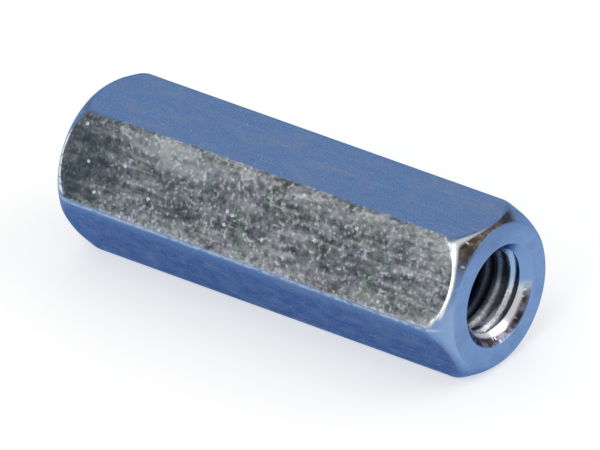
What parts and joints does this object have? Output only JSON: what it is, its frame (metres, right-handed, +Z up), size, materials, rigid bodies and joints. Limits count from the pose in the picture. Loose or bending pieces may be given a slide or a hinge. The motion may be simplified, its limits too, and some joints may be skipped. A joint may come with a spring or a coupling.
{
  "type": "coupling nut",
  "caption": "Long hexagonal coupling nut, chamfered at both ends, with one right-hand metric thread right through to join two studs end to end.",
  "frame": {"origin": "middle of the bore: on its axis, half way between the end faces", "axes": "+X along the bore, +Z up out of one flat, with the nut lying on the opposite flat"},
  "size_m": [0.04, 0.0148, 0.013],
  "materials": {
    "zinc_steel": "bright zinc plate with a blue passivate over drawn hexagon bar, nicked and rubbed grey by handling"
  },
  "bodies": {
    "root": {"coupling_nut": "zinc_steel"}
  },
  "joints": []
}
